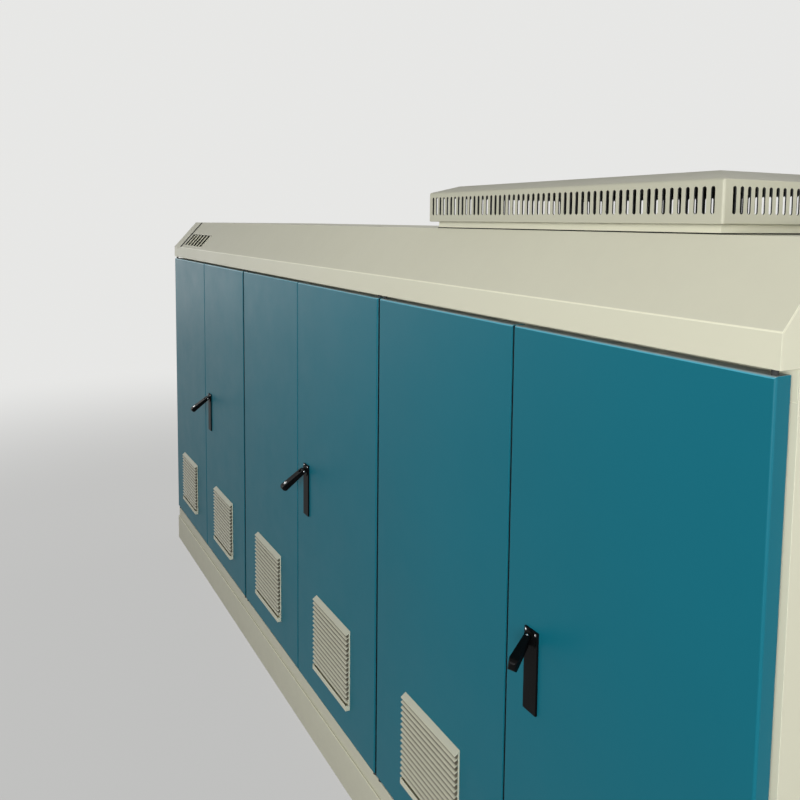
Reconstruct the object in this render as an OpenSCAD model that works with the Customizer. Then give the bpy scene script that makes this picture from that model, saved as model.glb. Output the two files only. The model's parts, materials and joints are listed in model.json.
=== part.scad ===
// Control cabinet for a plastic extrusion line: three double-door bays under a sloped hood,
// with a slotted vent cap on the roof. X runs along the front, Y into the depth, Z up.
// The pieces are drawn from the left end of the row (x), the face of the doors (y) and the
// floor (z), and moved as one so that the origin is the middle of the whole part's footprint.

/* [Cabinet] */
// Width of one bay, which holds a pair of doors
bay_w = 950; // [800:10:1100]
// Depth from the face of the doors to the back
cabinet_d = 600; // [500:10:800]
// Thickness of the body's sheet metal
sheet_t = 2; // [1.5:0.5:3]
// Thickness of the folded rails and posts
frame_t = 3; // [2:0.5:4]
// Distance from the back of the doors to the posts behind them
frame_gap = 8; // [7:0.5:12]
// Depth of the front rails behind the posts' face
rail_d = 30; // [25:1:50]
// Height of the stop that each front rail puts behind the doors
stop_h = 38; // [25:1:60]
// Width of the posts between the bays
post_w = 60; // [50:1:90]
// Depth of the posts between the bays
post_d = 40; // [32:1:60]
// Width of the side walls' folded front edge
side_fold = 30; // [20:1:40]

/* [Plinth and sill] */
// Height of the plinth
plinth_h = 96; // [60:1:150]
// Width of the plinth channels' flanges
plinth_w = 40; // [30:1:60]
// Height of the sill rail above the plinth
sill_h = 37; // [25:1:60]
// Setback of the sill rail behind the plinth's face
sill_setback = 4; // [2:0.5:10]

/* [Doors] */
// Height of the doors
door_h = 1059; // [900:1:1300]
// Thickness of the doors over their folded edges
door_t = 25; // [20:1:30]
// Thickness of the doors' sheet metal
door_sheet = 2; // [1.5:0.5:3]
// Gap between the doors and the sill or hood
door_gap = 7; // [5:0.5:8]
// Gap between the two doors of a bay
meeting_gap = 6; // [5.5:0.5:8]
// Gap between the doors of neighbouring bays, and twice the gap at the row's ends
bay_gap = 10; // [10:0.5:14]
// Width of the inward fold around the back of a door
door_lip = 14; // [8:1:16]
// Distance of the hinge pin's axis from the door's edge
pin_in = 8; // [7:0.5:9]
// Distance of the hinge pin's axis from the door's face
pin_back = 9; // [8:0.5:10]
// Radius of the hinge pins
pin_r = 4; // [3:0.5:5]
// Depth of a hinge pin in its door
pin_depth = 15; // [10:1:25]
// Radius of the collar that a door turns on
collar_r = 6.5; // [5.5:0.5:7]

/* [Door louvres] */
// Width of a door louvre
louvre_w = 206; // [160:1:260]
// Height of a door louvre's lower edge above the floor
louvre_z = 214; // [180:1:400]
// How far the louvre stands out from the door
louvre_out = 11; // [9:0.5:18]
// Number of slats in a door louvre
slat_n = 14; // [8:1:20]
// Distance from one slat to the next
slat_pitch = 11.8; // [10:0.1:15]
// Rise of a slat from its front edge to its back edge
slat_rise = 6; // [3:0.5:8]
// Distance of the slats' back edges from the door's face
slat_root = 1; // [0.5:0.5:2]
// Upright thickness of a slat
slat_t = 1.8; // [1:0.1:2.5]
// Depth of the cheeks that carry the slats' ends
cheek_d = 3; // [2.5:0.5:8]
// Thickness of the cheeks
cheek_t = 1.5; // [1:0.1:2.5]
// Fall of the sloped band above the slats
band_top = 8; // [6:1:20]
// Height of the upright band below the slats
band_low = 13; // [8:1:20]
// Drop from the lowest slat's front edge to the band below it
band_gap = 7.5; // [2:0.5:10]

/* [Hood] */
// Height of the upright band above the doors
fascia_h = 41; // [30:1:80]
// Rise of the hood's slope
slope_h = 100; // [60:1:140]
// Run of the hood's slope
slope_d = 90; // [60:1:130]
// Width of the separate strip at the left end of the slope
strip_w = 100; // [60:1:160]
// Gap beside that strip
strip_gap = 5; // [3:0.5:8]
// Left edge of the hood louvre, from the left end of the row
hood_louvre_x = 135; // [115:1:300]
// Width of the hood louvre
hood_louvre_w = 276; // [150:1:350]
// Lower edge of the hood louvre, measured up the slope
hood_louvre_s = 13; // [8:1:40]
// Height of the hood louvre, measured up the slope
hood_louvre_h = 60; // [40:1:70]
// Depth of the hood louvre's frame below the slope
hood_louvre_d = 14; // [8:1:20]
// Number of blades in the hood louvre
hood_blade_n = 6; // [3:1:9]
// Tip of the hood louvre's blades out of the slope
hood_blade_tip = 28; // [10:1:40]
// Width of a hood blade as a share of the blades' distance
hood_blade_share = 0.96; // [0.8:0.01:1]

/* [Vent cap] */
// Distance of the vent cap from the row's right end
cap_end = 159; // [100:1:200]
// Length of the vent cap
cap_w = 740; // [600:1:800]
// Depth of the vent cap
cap_d = 400; // [300:10:450]
// Height of the vent cap's upright walls
cap_wall_h = 58; // [50:1:90]
// Rise of the cap's sloped rim to its flat top
cap_rim_h = 14; // [8:1:30]
// Run of the cap's sloped rim
cap_rim_d = 45; // [20:1:80]
// Height of the low curb that carries the cap
curb_h = 13; // [10:1:30]
// Setback of the curb from the cap's walls
curb_in = 15; // [8:1:30]
// Width of a slot
slot_w = 6.5; // [3:0.5:7]
// Height of a slot, over its round ends
slot_h = 36; // [20:1:37]
// Height of the slots' lower ends above the cap's lower edge
slot_up = 13; // [10:1:18]
// Distance from one slot to the next
slot_pitch = 13.85; // [12:0.05:18]
// Smallest distance from a corner of the cap to the middle of a slot
slot_margin = 15; // [12:1:40]

/* [Handles] */
// Distance of the handles' middle from the meeting edge of the right-hand doors
handle_x = 65; // [50:1:120]
// Height of the handle plates' lower edge above the floor
plate_z = 597; // [500:1:700]
// Width of a handle plate
plate_w = 32; // [28:1:44]
// Height of a handle plate
plate_h = 134; // [120:1:180]
// Thickness of a handle plate
plate_t = 4; // [3:0.5:6]
// Distance of the lever's pivot below the plate's upper edge
pivot_down = 15; // [15:0.5:24]
// Length of a lever from its pivot to its end
lever_l = 70; // [40:1:80]
// Width of a lever
lever_w = 20; // [18:1:28]
// Thickness of a lever at its pivot
lever_t = 10; // [7:0.5:12]
// Thickness of a lever near its end
lever_end_t = 15; // [12:0.5:17]
// Radius of the corners at a lever's end
lever_end_r = 8.5; // [4:0.5:9]
// Angle at which the levers stand out from the doors
lever_lift = 52; // [0:1:75]
// Turn of the last bay's handle from its locked place
last_turn = 78; // [0:1:90]
// Radius of the disc that turns on the plate
disc_r = 14; // [12:0.5:14]
// Thickness of that disc
disc_t = 2; // [1.5:0.5:3]
// Width of the ear that carries the lever
hub_w = 9; // [7:0.5:12]
// Radius of the pin that a lever swings on
lever_pin_r = 2.5; // [2:0.5:3]
// Radius of the handle's shaft through the door
shaft_r = 6; // [5:0.5:8]
// Length of the latch bar on the shaft's inner end
latch_l = 48; // [30:1:60]
// Thickness of the latch bar
latch_t = 3; // [2:0.5:5]

/* [Inside] */
// Gap between a mounting plate and the posts at its sides
mount_side_gap = 25; // [10:1:60]
// Thickness of the mounting plates
mount_t = 3; // [2:0.5:4]
// Distance of the mounting plates from the back wall
mount_off = 36; // [20:1:80]
// Distance of the mounting plates from the stops above and below
mount_end_gap = 40; // [20:1:120]
// Radius of the spacers behind the mounting plates
spacer_r = 10; // [6:0.5:16]

/* [Hidden] */
$fn = 48;
cream = "#cfcebd";
teal = "#1f6470";
black = "#141414";
zinc = "#b4b8ba";

bay_n = 3;
leaf_n = 2 * bay_n;
row_w = bay_n * bay_w;
cut = 1;
leaf_w = (bay_w - bay_gap - meeting_gap) / 2;
door_z = plinth_h + sill_h + door_gap;
door_top = door_z + door_h;
fascia_z = door_top + door_gap;
crease_z = fascia_z + fascia_h;
roof_z = crease_z + slope_h;
frame_y = door_t + frame_gap;
rail_back = frame_y + rail_d;
slope_l = sqrt(slope_h * slope_h + slope_d * slope_d);
slope_a = atan2(slope_h, slope_d);
pin_clear = 0.05;
collar_clear = 0.3;
// the space between a handle's disc and its plate
turn_clear = 0.3;
// the space between a lever's fork and the hub's ear
fork_clear = 0.3;
// the space between a lever's root and the disc behind it
root_clear = 0.5;
// the space round a shaft in a door's sheet
hole_clear = 1.5;
cap_x = row_w - cap_end - cap_w;
cap_y = slope_d;
cap_z = roof_z + curb_h;
pivot_z = plate_z + plate_h - pivot_down;
pivot_out = plate_t + turn_clear + disc_t + root_clear + lever_t / 2;
// a lever's end swells outward only, so that its back stays flat
lever_swell = (lever_end_t - lever_t) / 2;
lever_arm = lever_l - lever_end_t / 2;
lever_reach = pivot_out + lever_arm * sin(lever_lift) + lever_swell * cos(lever_lift) + lever_end_t / 2;
y_middle = (cabinet_d - lever_reach) / 2;

// left edge of leaf i, counted from 0 at the row's left end
function leaf_x(i) = floor(i / 2) * bay_w + bay_gap / 2 + (i % 2) * (leaf_w + meeting_gap);
// the hinge side is the left edge of even leaves and the right edge of odd ones
function pin_x(i) = i % 2 == 0 ? leaf_x(i) + pin_in : leaf_x(i) + leaf_w - pin_in;
function handle_mid(bay) = leaf_x(2 * bay + 1) + handle_x;
function handle_turn(bay) = bay == bay_n - 1 ? last_turn : 0;

// moves a piece from the row's own corner to the part's origin
module place() translate([-row_w / 2, -y_middle, 0]) children();
// an outline drawn in depth and height, run along the row from x0
module along_row(x0, length) translate([x0, 0, 0])
  rotate([90, 0, 90]) linear_extrude(length) children();
// x along the row, y up the slope from the crease, z out of the slope
module on_slope() translate([0, 0, crease_z]) rotate([slope_a, 0, 0]) children();
module box(x, y, z) translate([x[0], y[0], z[0]])
  cube([x[1] - x[0], y[1] - y[0], z[1] - z[0]]);

// the hood's outline in depth and height, set in from its outer face by t
function hood_outline(t, low) = [
  [t, low], [t, crease_z + t * (slope_h - slope_l) / slope_d],
  [slope_d + t * (slope_l - slope_d) / slope_h, roof_z - t]
];

// an open channel along the row: face to the front, flanges to the back, ends closed or open
module channel(length, end_t) difference() {
  cube([length, plinth_w, plinth_h]);
  box([end_t, length - end_t], [frame_t, plinth_w + cut], [frame_t, plinth_h - frame_t]);
}
module plinth_front() place() color(cream) channel(row_w, frame_t);
module plinth_back() place() color(cream)
  translate([0, cabinet_d, 0]) mirror([0, 1, 0]) channel(row_w, frame_t);
module plinth_end() translate([0, cabinet_d - plinth_w, 0]) rotate([0, 0, -90])
  channel(cabinet_d - 2 * plinth_w, -cut);
module plinth_left() place() color(cream) plinth_end();
module plinth_right() place() color(cream) translate([row_w, 0, 0]) mirror([1, 0, 0]) plinth_end();

module floor_panel() place() color(zinc)
  box([sheet_t, row_w - sheet_t], [rail_back, cabinet_d - sheet_t], [plinth_h, plinth_h + sheet_t]);

// a side wall: its outline follows the hood, and its front edge folds in beside the doors
module side_wall() {
  along_row(0, sheet_t) polygon(concat(
    [[frame_y, plinth_h], [frame_y, fascia_z]], hood_outline(sheet_t, fascia_z),
    [[cabinet_d, roof_z - sheet_t], [cabinet_d, plinth_h]]));
  box([sheet_t, sheet_t + side_fold], [frame_y, frame_y + sheet_t],
    [plinth_h + sill_h + stop_h, fascia_z - stop_h]);
}
module left_side() place() color(cream) side_wall();
module right_side() place() color(cream) translate([row_w, 0, 0]) mirror([1, 0, 0]) side_wall();

module back_panel(bay) {
  x0 = bay == 0 ? sheet_t : bay * bay_w;
  x1 = bay == bay_n - 1 ? row_w - sheet_t : (bay + 1) * bay_w;
  place() color(cream) box([x0, x1], [cabinet_d - sheet_t, cabinet_d], [plinth_h, roof_z - sheet_t]);
}

module tube(x, y, z) difference() {
  box(x, y, z);
  box([x[0] + frame_t, x[1] - frame_t], [y[0] + frame_t, y[1] - frame_t], [z[0] - cut, z[1] + cut]);
}
// a front and a back post where two bays meet
module bay_posts(k) place() color(cream) {
  x = [k * bay_w - post_w / 2, k * bay_w + post_w / 2];
  tube(x, [frame_y, frame_y + post_d], [plinth_h + sill_h + stop_h, fascia_z - stop_h]);
  tube(x, [cabinet_d - sheet_t - post_d, cabinet_d - sheet_t], [plinth_h + sheet_t, roof_z - sheet_t]);
}

// a rail along the front: a box under or over the doors with a stop behind them,
// drawn for the sill and turned over for the head
module front_rail(front, height) {
  module outline(t) polygon([
    [front + t, t], [front + t, height - t], [frame_y + t, height - t],
    [frame_y + t, height + stop_h - t], [rail_back - t, height + stop_h - t], [rail_back - t, t]
  ]);
  along_row(sheet_t, row_w - 2 * sheet_t) difference() { outline(0); outline(frame_t); }
}
module sill_rail() place() color(cream) translate([0, 0, plinth_h]) front_rail(sill_setback, sill_h);
module head_rail() place() color(cream) translate([0, 0, fascia_z + fascia_h - frame_t])
  mirror([0, 0, 1]) front_rail(sheet_t, fascia_h - frame_t);

module roof_panel() place() color(cream) difference() {
  along_row(0, row_w) polygon([
    [slope_d, roof_z], [cabinet_d, roof_z], [cabinet_d, roof_z - sheet_t], hood_outline(sheet_t, 0)[2]]);
  box([cap_x + curb_in + sheet_t, cap_x + cap_w - curb_in - sheet_t],
    [cap_y + curb_in + sheet_t, cap_y + cap_d - curb_in - sheet_t], [roof_z - sheet_t - cut, roof_z + cut]);
}

// the hood's sheet from point i of its outline to the next: 0 is the band, 1 the slope
module hood_sheet(i) polygon([
  hood_outline(0, fascia_z)[i], hood_outline(0, fascia_z)[i + 1],
  hood_outline(sheet_t, fascia_z)[i + 1], hood_outline(sheet_t, fascia_z)[i]]);
// the upright band and the slope, open at the left for the end strip
module hood_front() place() color(cream) difference() {
  union() {
    along_row(0, row_w) hood_sheet(0);
    along_row(strip_w + strip_gap, row_w - strip_w - strip_gap) hood_sheet(1);
  }
  on_slope() box([hood_louvre_x, hood_louvre_x + hood_louvre_w],
    [hood_louvre_s, hood_louvre_s + hood_louvre_h], [-2 * sheet_t, cut]);
}
module hood_end_strip() place() color(cream) along_row(0, strip_w) hood_sheet(1);

// a frame set in the slope with blades that run up it, each tipped towards the row's left end
module hood_louvre() place() color(cream) on_slope() {
  pitch = (hood_louvre_w - 2 * sheet_t) / hood_blade_n;
  translate([hood_louvre_x, hood_louvre_s, -hood_louvre_d]) {
    difference() {
      cube([hood_louvre_w, hood_louvre_h, hood_louvre_d]);
      translate([sheet_t, sheet_t, -cut])
        cube([hood_louvre_w - 2 * sheet_t, hood_louvre_h - 2 * sheet_t, hood_louvre_d + 2 * cut]);
    }
    intersection() {
      translate([sheet_t, sheet_t, 0])
        cube([hood_louvre_w - 2 * sheet_t, hood_louvre_h - 2 * sheet_t, hood_louvre_d - sheet_t]);
      for (i = [0:hood_blade_n - 1])
        translate([sheet_t + i * pitch, 0, 0]) rotate([0, -hood_blade_tip, 0])
          cube([pitch * hood_blade_share, hood_louvre_h, slat_t]);
    }
  }
}

module cap_curb() place() color(cream) difference() {
  box([cap_x + curb_in, cap_x + cap_w - curb_in], [cap_y + curb_in, cap_y + cap_d - curb_in],
    [roof_z, cap_z]);
  box([cap_x + curb_in + sheet_t, cap_x + cap_w - curb_in - sheet_t],
    [cap_y + curb_in + sheet_t, cap_y + cap_d - curb_in - sheet_t], [roof_z - cut, cap_z + cut]);
}

// the height of the cap's eaves, set in by t
function cap_eaves(t) = cap_wall_h
  - t * (sqrt(cap_rim_h * cap_rim_h + cap_rim_d * cap_rim_d) - cap_rim_h) / cap_rim_d;
// the cap's body, set in by t: upright walls, then a rim that slopes to a flat top
module cap_outline(size, t) polygon([
  [t, t], [t, cap_eaves(t)], [cap_rim_d, cap_wall_h + cap_rim_h - t],
  [size - cap_rim_d, cap_wall_h + cap_rim_h - t], [size - t, cap_eaves(t)], [size - t, t]
]);
module cap_body(t) intersection() {
  translate([0, cap_d, 0]) rotate([90, 0, 0]) linear_extrude(cap_d) cap_outline(cap_w, t);
  rotate([90, 0, 90]) linear_extrude(cap_w) cap_outline(cap_d, t);
}
module slot_outline() translate([-slot_w / 2, slot_up]) {
  translate([0, slot_w / 2]) square([slot_w, slot_h - slot_w]);
  for (z = [slot_w / 2, slot_h - slot_w / 2]) translate([slot_w / 2, z]) circle(slot_w / 2, $fn = 24);
}
// the middles of as many slots as a wall of this length takes
function slot_places(length) = let (n = floor((length - 2 * slot_margin) / slot_pitch))
  [for (i = [0:n]) length / 2 + (i - n / 2) * slot_pitch];
module vent_cap() place() color(cream) translate([cap_x, cap_y, cap_z]) difference() {
  cap_body(0);
  cap_body(sheet_t);
  box([curb_in + sheet_t, cap_w - curb_in - sheet_t], [curb_in + sheet_t, cap_d - curb_in - sheet_t],
    [-cut, sheet_t + cut]);
  for (x = slot_places(cap_w))
    translate([x, cap_d + cut, 0]) rotate([90, 0, 0]) linear_extrude(cap_d + 2 * cut) slot_outline();
  for (y = slot_places(cap_d))
    translate([-cut, y, 0]) rotate([90, 0, 90]) linear_extrude(cap_w + 2 * cut) slot_outline();
}

// a bare plate for the equipment, on four spacers from the back wall
module mounting_plate(bay) place() color(zinc) {
  x = [bay * bay_w + post_w / 2 + mount_side_gap, (bay + 1) * bay_w - post_w / 2 - mount_side_gap];
  z = [plinth_h + sill_h + stop_h + mount_end_gap, fascia_z - stop_h - mount_end_gap];
  y = cabinet_d - sheet_t - mount_off;
  box(x, [y - mount_t, y], z);
  for (px = [x[0] + 2 * mount_side_gap, x[1] - 2 * mount_side_gap])
    for (pz = [z[0] + mount_end_gap, z[1] - mount_end_gap])
      translate([px, y, pz]) rotate([-90, 0, 0]) cylinder(r = spacer_r, h = mount_off);
}

louvre_h = band_low + band_gap + slat_n * slat_pitch + band_top;
function louvre_x(i) = leaf_x(i) + (leaf_w - louvre_w) / 2;

// a folded door: a pan with lips round its back and a bored block at each hinge corner
module door(i) place() color(teal) difference() {
  x = [leaf_x(i), leaf_x(i) + leaf_w];
  z = [door_z, door_top];
  union() {
    difference() {
      box(x, [0, door_t], z);
      box([x[0] + door_sheet, x[1] - door_sheet], [door_sheet, door_t - door_sheet],
        [z[0] + door_sheet, z[1] - door_sheet]);
      box([x[0] + door_lip, x[1] - door_lip], [door_sheet, door_t + cut],
        [z[0] + door_lip, z[1] - door_lip]);
    }
    for (zb = [z[0], z[1] - pin_depth])
      box([pin_x(i) - pin_in + door_sheet / 2, pin_x(i) + pin_in - door_sheet],
        [door_sheet / 2, pin_back + pin_in - door_sheet], [zb, zb + pin_depth]);
  }
  for (zb = [z[0] - cut, z[1] - pin_depth - cut])
    translate([pin_x(i), pin_back, zb]) cylinder(r = pin_r + pin_clear, h = pin_depth + 2 * cut);
  box([louvre_x(i) + 2 * cheek_d, louvre_x(i) + louvre_w - 2 * cheek_d],
    [-cut, door_sheet + cut], [louvre_z + band_low, louvre_z + louvre_h - band_top]);
  if (i % 2 == 1) translate([handle_mid(floor(i / 2)), -cut, pivot_z]) rotate([-90, 0, 0])
    cylinder(r = shaft_r + hole_clear, h = door_sheet + 2 * cut);
}

// slats that slope out and down between two cheeks, under a sloped band and over an upright one
module door_louvre(i) place() color(cream) translate([louvre_x(i), 0, louvre_z]) {
  out = louvre_out;
  // the height at which the sloped band meets the cheeks' front edge
  cheek_top = louvre_h - band_top * cheek_d / out;
  for (x = [0, louvre_w - cheek_t])
    along_row(x, cheek_t) polygon([
      [0, 0], [-out, 0], [-out, band_low], [-cheek_d, band_low], [-cheek_d, cheek_top], [0, louvre_h]]);
  along_row(0, louvre_w) {
    polygon([[0, louvre_h], [-out, louvre_h - band_top], [-out, louvre_h - band_top - slat_t],
      [0, louvre_h - 2 * slat_t]]);
    polygon([[0, 0], [-out, 0], [-out, band_low], [cheek_t - out, band_low],
      [cheek_t - out, cheek_t], [-slat_t, cheek_t], [-slat_t, band_low + band_gap + slat_rise],
      [0, band_low + band_gap + slat_rise]]);
    for (k = [0:slat_n - 1]) let (z = band_low + band_gap + k * slat_pitch)
      polygon([[-out, z], [-out, z + slat_t], [-slat_root, z + slat_rise + slat_t],
        [-slat_root, z + slat_rise]]);
  }
}

// a handle's plate, bored for the shaft
module handle_plate(bay) place() color(black) translate([handle_mid(bay), 0, 0]) difference() {
  box([-plate_w / 2, plate_w / 2], [-plate_t, 0], [plate_z, plate_z + plate_h]);
  translate([0, -plate_t - cut, pivot_z]) rotate([-90, 0, 0])
    cylinder(r = shaft_r + pin_clear, h = plate_t + 2 * cut);
}

// moves what turns with a handle from its shaft's axis to its door
module on_handle(bay) place() color(black)
  translate([handle_mid(bay), 0, pivot_z]) rotate([0, -handle_turn(bay), 0]) children();
// a disc that turns on the plate, with an ear for the lever's pin and a shaft to the latch
module handle_hub(bay) on_handle(bay) {
  disc_y = -plate_t - turn_clear - disc_t;
  translate([0, disc_y, 0]) rotate([-90, 0, 0]) cylinder(r = disc_r, h = disc_t);
  box([-hub_w / 2, hub_w / 2], [-pivot_out, disc_y + disc_t / 2], [-lever_t / 2, lever_t / 2]);
  translate([-hub_w / 2, -pivot_out, 0]) rotate([0, 90, 0]) cylinder(r = lever_t / 2, h = hub_w);
  translate([-lever_w / 2, -pivot_out, 0]) rotate([0, 90, 0]) cylinder(r = lever_pin_r, h = lever_w);
  translate([0, disc_y + disc_t / 2, 0]) rotate([-90, 0, 0])
    cylinder(r = shaft_r, h = door_t / 2 - disc_y - disc_t / 2);
  box([-shaft_r, shaft_r], [door_t / 2 - latch_t, door_t / 2], [-latch_l / 2, latch_l / 2]);
}

// a lever's outline from the front, hanging from its pivot
module lever_front() {
  translate([-lever_w / 2, lever_end_r - lever_l]) square([lever_w, lever_l]);
  translate([lever_end_r - lever_w / 2, -lever_l]) square([lever_w - 2 * lever_end_r, lever_l]);
  for (x = [lever_end_r - lever_w / 2, lever_w / 2 - lever_end_r])
    translate([x, lever_end_r - lever_l]) circle(lever_end_r);
}
// a lever's outline from the side: a small round at the pivot, a larger one at the end
module lever_side() {
  taper = 2 * atan(lever_swell / lever_arm);
  circle(lever_t / 2);
  translate([-lever_swell, -lever_arm]) circle(lever_end_t / 2);
  polygon([
    [lever_t / 2, 0], [lever_t / 2, -lever_arm],
    [-lever_swell - lever_end_t / 2 * cos(taper), lever_end_t / 2 * sin(taper) - lever_arm],
    [-lever_t / 2 * cos(taper), lever_t / 2 * sin(taper)]]);
}
// a lever forked over the hub's ear, lifted by lever_lift from the hanging position
module handle_lever(bay) on_handle(bay)
  translate([0, -pivot_out, 0]) rotate([-lever_lift, 0, 0]) difference() {
    intersection() {
      along_row(-lever_w / 2, lever_w) lever_side();
      translate([0, lever_end_t, 0]) rotate([90, 0, 0]) linear_extrude(2 * lever_end_t) lever_front();
    }
    box([-hub_w / 2 - fork_clear, hub_w / 2 + fork_clear], [-lever_t, lever_t], [-lever_t, lever_t]);
    translate([-lever_w / 2 - cut, 0, 0]) rotate([0, 90, 0])
      cylinder(r = lever_pin_r + pin_clear, h = lever_w + 2 * cut);
  }

// each door turns on a pin that stands on the sill rail and one that hangs from the head rail
module hinge_pins() place() color(black) for (i = [0:leaf_n - 1]) {
  translate([pin_x(i), pin_back, door_z - door_gap]) {
    cylinder(r = pin_r, h = door_gap + pin_depth);
    cylinder(r = collar_r, h = door_gap - collar_clear);
  }
  translate([pin_x(i), pin_back, fascia_z - door_gap - pin_depth])
    cylinder(r = pin_r, h = door_gap + pin_depth);
}

plinth_front();
plinth_back();
plinth_left();
plinth_right();
floor_panel();
left_side();
right_side();
back_panel(0);  // back_panel_1
back_panel(1);  // back_panel_2
back_panel(2);  // back_panel_3
bay_posts(1);  // bay_posts_1
bay_posts(2);  // bay_posts_2
sill_rail();
head_rail();
roof_panel();
hood_front();
hood_end_strip();
hood_louvre();
cap_curb();
vent_cap();
mounting_plate(0);  // mounting_plate_1
mounting_plate(1);  // mounting_plate_2
mounting_plate(2);  // mounting_plate_3
door(0);  // door_1
door(1);  // door_2
door(2);  // door_3
door(3);  // door_4
door(4);  // door_5
door(5);  // door_6
door_louvre(0);  // door_louvre_1
door_louvre(1);  // door_louvre_2
door_louvre(2);  // door_louvre_3
door_louvre(3);  // door_louvre_4
door_louvre(4);  // door_louvre_5
door_louvre(5);  // door_louvre_6
handle_plate(0);  // handle_plate_1
handle_plate(1);  // handle_plate_2
handle_plate(2);  // handle_plate_3
handle_hub(0);  // handle_hub_1
handle_hub(1);  // handle_hub_2
handle_hub(2);  // handle_hub_3
handle_lever(0);  // handle_lever_1
handle_lever(1);  // handle_lever_2
handle_lever(2);  // handle_lever_3
hinge_pins();
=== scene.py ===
import json
import math

import bmesh
import bpy
from bpy.props import FloatProperty, FloatVectorProperty, IntProperty, PointerProperty
from mathutils import Matrix, Vector


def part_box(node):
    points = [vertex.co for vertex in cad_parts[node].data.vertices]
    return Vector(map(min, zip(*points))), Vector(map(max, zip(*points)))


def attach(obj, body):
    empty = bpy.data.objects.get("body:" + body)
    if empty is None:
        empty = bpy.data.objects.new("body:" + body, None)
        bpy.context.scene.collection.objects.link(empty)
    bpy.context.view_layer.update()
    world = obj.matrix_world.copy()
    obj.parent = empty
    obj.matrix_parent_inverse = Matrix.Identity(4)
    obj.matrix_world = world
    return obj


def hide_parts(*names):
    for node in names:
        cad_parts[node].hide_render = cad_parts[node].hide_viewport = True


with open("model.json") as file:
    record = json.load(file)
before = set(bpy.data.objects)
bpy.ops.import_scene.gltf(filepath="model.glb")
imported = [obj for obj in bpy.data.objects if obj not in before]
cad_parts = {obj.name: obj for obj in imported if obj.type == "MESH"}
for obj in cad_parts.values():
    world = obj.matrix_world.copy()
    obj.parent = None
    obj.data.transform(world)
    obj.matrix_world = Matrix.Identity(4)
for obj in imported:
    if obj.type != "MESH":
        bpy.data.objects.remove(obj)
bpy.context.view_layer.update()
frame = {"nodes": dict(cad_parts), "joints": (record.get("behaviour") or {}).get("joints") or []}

bl_info = {
    "name": "Extrusion Line Control Cabinet",
    "version": (1, 0, 0),
    "blender": (4, 5, 0),
    "location": "View3D > Sidebar > Cabinet",
    "description": "Dresses a three-bay control cabinet: painted doors, louvres, hood and handles",
    "category": "Add Mesh",
}

BAYS = range(1, 4)
LEAVES = range(1, 7)
DOOR_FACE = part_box("door_1")[0].y
JOINTS = {joint["name"]: joint for joint in frame["joints"]}

# Angles: faces that meet at less than FLAT are joined, edges sharper than CREASE are rounded,
# and edges blunter than SMOOTH are shaded smooth
FLAT, CREASE, SMOOTH = math.radians(1), math.radians(32), math.radians(40)

# Lengths in metres: corners within MERGE are one corner, and places within NEAR are one place
MERGE, NEAR = 2e-6, 1e-5
LONG_FOLD = 0.3

# How many faces a rounding has across it
FOLD_STEPS, RIM_STEPS, CAP_STEPS = 4, 2, 5


# Property makers: bpy.props with what the settings share

def number(name, description, default, low, high, unit="NONE"):
    return FloatProperty(
        name=name, description=description, unit=unit, default=default, min=low, max=high)


def length(name, description, default, low, high):
    return number(name, description, default, low, high, "LENGTH")


def watts(name, description, default):
    return number(name, description, default, 0.0, 500.0, "POWER")


def angle(name, description, default, low=-math.pi, high=math.pi):
    return FloatProperty(
        name=name, description=description, unit="ROTATION", subtype="ANGLE", default=default,
        min=low, max=high)


def color(name, description, default):
    return FloatVectorProperty(
        name=name, description=description, subtype="COLOR", size=3, default=default)


# Property groups: what a user would change

class FinishSettings(bpy.types.PropertyGroup):
    """Colours and surface of the paints and metals"""
    cream: color("Cream", "Powder coat of the body, hood and louvres", (0.64, 0.63, 0.49))
    teal: color("Teal", "Powder coat of the doors", (0.004, 0.136, 0.186))
    black: color("Black", "Coat of the cast handles", (0.004, 0.004, 0.0042))
    zinc: color(
        "Zinc", "Plated steel inside the cabinet and the back panels' screws", (0.52, 0.54, 0.55))
    chrome: color("Chrome", "Screw heads and lock barrels of the handles", (0.72, 0.72, 0.73))
    rubber: color(
        "Rubber", "Door seals and trims, the strip on the hood's joint and the curb's bead",
        (0.008, 0.008, 0.0085))
    # slat_shade is painted shade: the dark colour laid where the louvres' slats meet the door
    slat_shade: color("Grime", "Dirt that has settled behind the louvres' slats", (0.085, 0.072, 0.045))
    # primer_and_shade is painted shade inside the vent cap and the hood's louvre, and the hinge
    # pins' dark coat
    primer_and_shade: color(
        "Primer", "Dark primer inside the vent cap and the hood's louvre, and on the hinge pins",
        (0.035, 0.036, 0.036))
    # cap_shade darkens the vent cap's cream as painted shade
    cap_shade: number(
        "Cap tone", "Brightness of the dusty vent cap beside the rest of the body", 0.73, 0.3, 1.0)
    # highlight_lift brightens the painted highlight on folds and rims that look up or to the left
    highlight_lift: number(
        "Edge lift", "How much brighter the coat is on folded edges", 1.25, 1.0, 2.0)
    peel: number("Orange peel", "Strength of the powder coat's fine ripple", 0.22, 0.0, 1.0)
    waviness: number("Sheet waviness", "Strength of the slow bow in large sheets", 0.35, 0.0, 1.0)


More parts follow.
